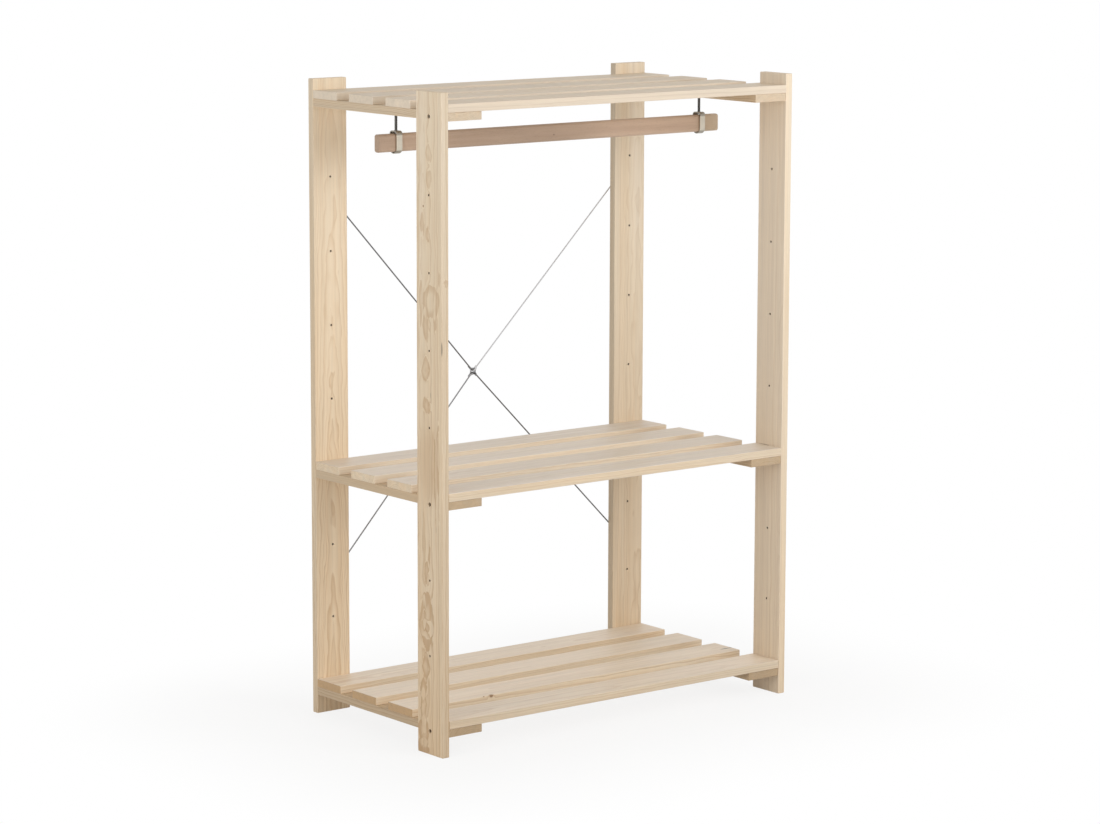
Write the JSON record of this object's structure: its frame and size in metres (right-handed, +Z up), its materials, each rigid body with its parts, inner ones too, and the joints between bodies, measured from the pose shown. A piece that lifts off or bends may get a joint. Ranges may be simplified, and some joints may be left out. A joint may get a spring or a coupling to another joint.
{
  "type": "open frame wardrobe",
  "caption": "Open wardrobe frame of pine boards: drilled posts, slatted shelves, a wooden clothes rail hung in steel loops under the top shelf and a wire cross brace at the back.",
  "frame": {"origin": "on the floor, under the middle of the whole frame", "axes": "+Z up, +X to the right along the shelves as seen from the front, -Y to the front"},
  "size_m": [1.188, 0.6306, 1.726],
  "materials": {
    "pine": "bare planed pine",
    "rail_wood": "bare sanded wood",
    "dark_steel": "dark plain rod",
    "zinc_steel": "zinc plated",
    "wire_steel": "galvanised wire"
  },
  "bodies": {
    "frame": {"back_left_post": "pine", "back_left_shelf_screws": "zinc_steel", "back_right_post": "pine", "back_right_shelf_screws": "zinc_steel", "bottom_shelf_left_batten": "pine", "bottom_shelf_right_batten": "pine", "bottom_shelf_slat_1": "pine", "bottom_shelf_slat_2": "pine", "bottom_shelf_slat_3": "pine", "bottom_shelf_slat_4": "pine", "bottom_shelf_slat_screws": "zinc_steel", "brace_ring": "wire_steel", "brace_screws": "zinc_steel", "brace_washers": "zinc_steel", "front_left_post": "pine", "front_left_shelf_screws": "zinc_steel", "front_right_post": "pine", "front_right_shelf_screws": "zinc_steel", "left_hanger_nut": "zinc_steel", "left_hanger_rod": "dark_steel", "left_hanger_washer": "zinc_steel", "lower_left_brace_wire": "wire_steel", "lower_right_brace_wire": "wire_steel", "middle_shelf_left_batten": "pine", "middle_shelf_right_batten": "pine", "middle_shelf_slat_1": "pine", "middle_shelf_slat_2": "pine", "middle_shelf_slat_3": "pine", "middle_shelf_slat_4": "pine", "middle_shelf_slat_screws": "zinc_steel", "right_hanger_nut": "zinc_steel", "right_hanger_rod": "dark_steel", "right_hanger_washer": "zinc_steel", "top_shelf_left_batten": "pine", "top_shelf_right_batten": "pine", "top_shelf_slat_1": "pine", "top_shelf_slat_2": "pine", "top_shelf_slat_3": "pine", "top_shelf_slat_4": "pine", "top_shelf_slat_screws": "zinc_steel", "upper_left_brace_wire": "wire_steel", "upper_right_brace_wire": "wire_steel"},
    "clothes_rail": {"clothes_rail": "rail_wood"},
    "left_hanger_loop": {"left_hanger_loop": "zinc_steel"},
    "right_hanger_loop": {"right_hanger_loop": "zinc_steel"}
  },
  "joints": [
    {"name": "rail_slide", "type": "slide", "parent": "frame", "child": "clothes_rail", "axis": [1, 0, 0], "range_m": [-0.045, 0.045]},
    {"name": "left_loop_swivel", "type": "hinge", "parent": "frame", "child": "left_hanger_loop", "pos_m": [-0.518, -0.01535, 1.6055], "axis": [0, 0, 1], "range_deg": [-5, 5]},
    {"name": "right_loop_swivel", "type": "hinge", "parent": "frame", "child": "right_hanger_loop", "pos_m": [0.518, -0.01535, 1.6055], "axis": [0, 0, 1], "range_deg": [-5, 5]}
  ]
}
